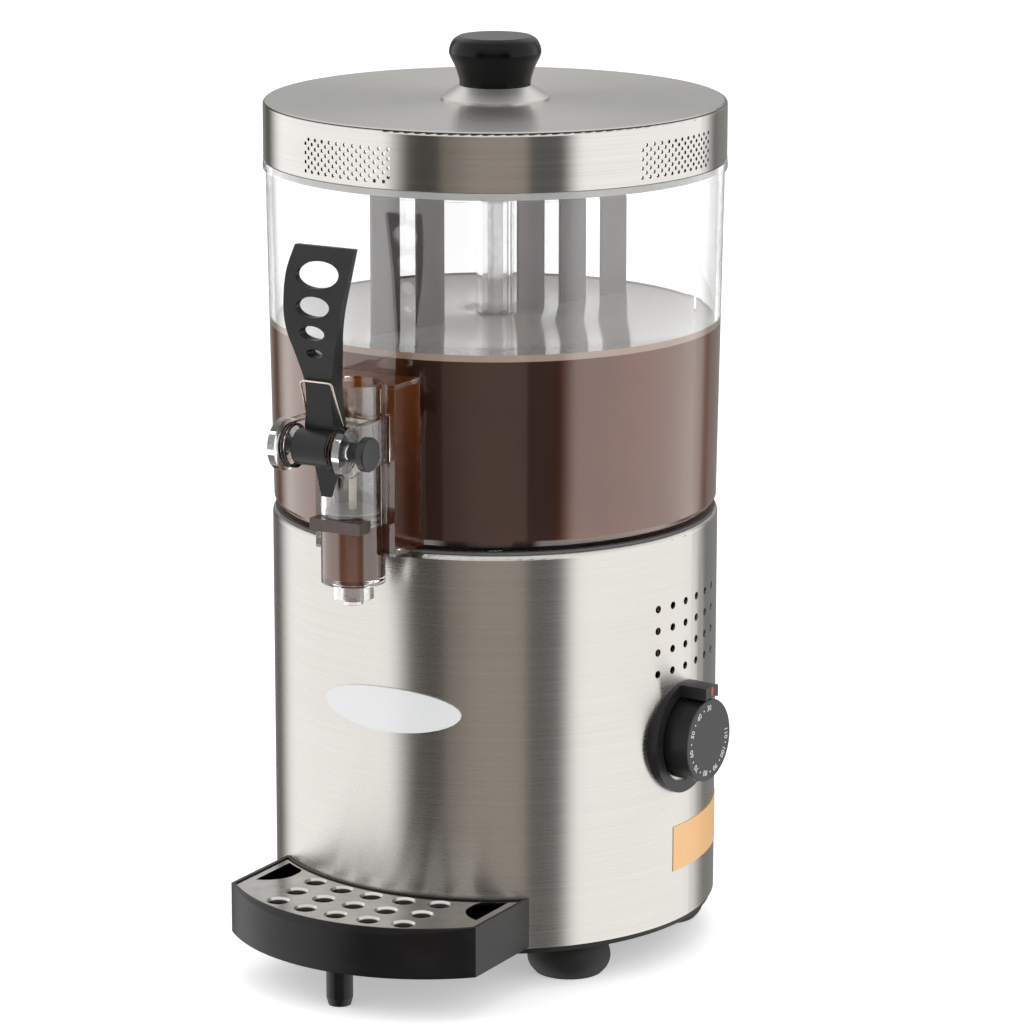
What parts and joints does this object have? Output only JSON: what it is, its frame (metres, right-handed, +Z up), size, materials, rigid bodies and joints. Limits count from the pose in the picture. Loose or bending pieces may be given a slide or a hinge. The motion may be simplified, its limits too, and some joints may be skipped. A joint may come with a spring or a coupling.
{
  "type": "hot chocolate dispenser",
  "caption": "Countertop drink dispenser: steel drum base with dial, clear stirred bowl, perforated lid, lever tap with lifting piston, slide-out drip tray.",
  "frame": {"origin": "on the counter, under the middle of the whole machine's bounding box", "axes": "+Z up, -Y towards the person who pulls the tap, +X towards the temperature dial"},
  "size_m": [0.2524, 0.31, 0.4729],
  "materials": {
    "rubber_feet": "matt",
    "foot_screws": "plain zinc",
    "base_plate": "fine grain",
    "housing_shell": "vertical brushing",
    "top_deck": "mill",
    "heating_plate": "mill",
    "heating_element": "heat tinted",
    "bowl_gasket": "matt",
    "motor": "satin",
    "gearbox": "cast",
    "motor_bracket": "zinc",
    "bracket_screws": "plain zinc",
    "shaft_bush": "turned",
    "thermostat_body": "moulded",
    "capillary_tube": "drawn copper",
    "safety_thermostat": "moulded",
    "terminal_block": "moulded",
    "switch_frame": "satin",
    "power_rocker": "satin",
    "cable_gland": "moulded",
    "dial_bezel": "satin",
    "dial_knob": "satin",
    "dial_spindle": "turned",
    "badge_plate": "gloss white",
    "rating_label": "printed film",
    "tray_bracket": "black",
    "drive_shaft": "ground",
    "bowl": "clear",
    "tap_body": "clear",
    "front_plate": "tinted",
    "pivot_pin": "satin",
    "pin_clip": "sprung",
    "lever_spring": "drawn wire",
    "tap_lever": "fine grain",
    "piston_rod": "cream",
    "piston_head": "moulded",
    "piston_rings": "matt",
    "crosshead": "cream",
    "stirrer": "smoky grey",
    "stirrer_hub": "cream",
    "lid_cover": "circular and vertical brushing",
    "lid_ring": "moulded",
    "knob_collar": "polished",
    "lid_knob": "satin gloss",
    "knob_screw": "plain zinc",
    "drip_tray": "fine grain",
    "tray_leg": "fine grain",
    "tray_grille": "satin"
  },
  "bodies": {
    "housing": {"rubber_feet": "rubber_feet", "foot_screws": "foot_screws", "base_plate": "base_plate", "housing_shell": "housing_shell", "top_deck": "top_deck", "heating_plate": "heating_plate", "heating_element": "heating_element", "bowl_gasket": "bowl_gasket", "motor": "motor", "gearbox": "gearbox", "motor_bracket": "motor_bracket", "bracket_screws": "bracket_screws", "shaft_bush": "shaft_bush", "thermostat_body": "thermostat_body", "capillary_tube": "capillary_tube", "safety_thermostat": "safety_thermostat", "terminal_block": "terminal_block", "switch_frame": "switch_frame", "cable_gland": "cable_gland", "dial_bezel": "dial_bezel", "badge_plate": "badge_plate", "rating_label": "rating_label", "tray_bracket": "tray_bracket"},
    "drive": {"drive_shaft": "drive_shaft"},
    "dial": {"dial_knob": "dial_knob", "dial_spindle": "dial_spindle"},
    "rocker": {"power_rocker": "power_rocker"},
    "bowl_unit": {"bowl": "bowl", "tap_body": "tap_body", "front_plate": "front_plate", "pivot_pin": "pivot_pin", "pin_clip": "pin_clip", "lever_spring": "lever_spring"},
    "lever": {"tap_lever": "tap_lever"},
    "piston": {"piston_rod": "piston_rod", "piston_head": "piston_head", "piston_rings": "piston_rings", "crosshead": "crosshead"},
    "stirrer_unit": {"stirrer": "stirrer", "stirrer_hub": "stirrer_hub"},
    "lid": {"lid_cover": "lid_cover", "lid_ring": "lid_ring", "knob_collar": "knob_collar", "lid_knob": "lid_knob", "knob_screw": "knob_screw"},
    "tray": {"drip_tray": "drip_tray", "tray_leg": "tray_leg"},
    "grille": {"tray_grille": "tray_grille"}
  },
  "joints": [
    {"name": "drive_spin", "type": "hinge", "parent": "housing", "child": "drive", "pos_m": [-0.00691, 0.03198, 0.2296], "axis": [0, 0, 1], "continuous": true},
    {"name": "dial_turn", "type": "hinge", "parent": "housing", "child": "dial", "pos_m": [0.10887, 0.0249, 0.12], "axis": [0.9981, -0.061, 0], "range_deg": [-270, 0]},
    {"name": "rocker_tip", "type": "hinge", "parent": "housing", "child": "rocker", "pos_m": [0.03071, 0.13534, 0.07], "axis": [-0.9397, 0.342, 0], "range_deg": [-16, 0]},
    {"name": "bowl_lift", "type": "slide", "parent": "housing", "child": "bowl_unit", "axis": [0, 0, 1], "range_m": [0, 0.178]},
    {"name": "lever_pull", "type": "hinge", "parent": "bowl_unit", "child": "lever", "pos_m": [-0.00691, -0.14202, 0.291], "axis": [1, 0, 0], "range_deg": [0, 14.74], "stiffness_Nm_per_rad": 0.8, "springref_deg": -17.19, "deforming": ["lever_spring"]},
    {"name": "piston_lift", "type": "slide", "parent": "bowl_unit", "child": "piston", "axis": [0, 0, 1], "range_m": [0, 0.0084]},
    {"name": "stirrer_spin", "type": "hinge", "parent": "bowl_unit", "child": "stirrer_unit", "pos_m": [-0.00691, 0.03198, 0.3296], "axis": [0, 0, 1], "continuous": true},
    {"name": "lid_lift", "type": "slide", "parent": "bowl_unit", "child": "lid", "axis": [0, 0, 1], "range_m": [0, 0.12]},
    {"name": "tray_pull", "type": "slide", "parent": "housing", "child": "tray", "axis": [0, -1, 0], "range_m": [0, 0.09]},
    {"name": "grille_lift", "type": "slide", "parent": "tray", "child": "grille", "axis": [0, 0, 1], "range_m": [0, 0.06]}
  ],
  "couplings": [
    {"joint": "piston_lift", "follows": "lever_pull", "m_per_rad": 0.0326},
    {"joint": "stirrer_spin", "follows": "drive_spin", "ratio": 1}
  ]
}
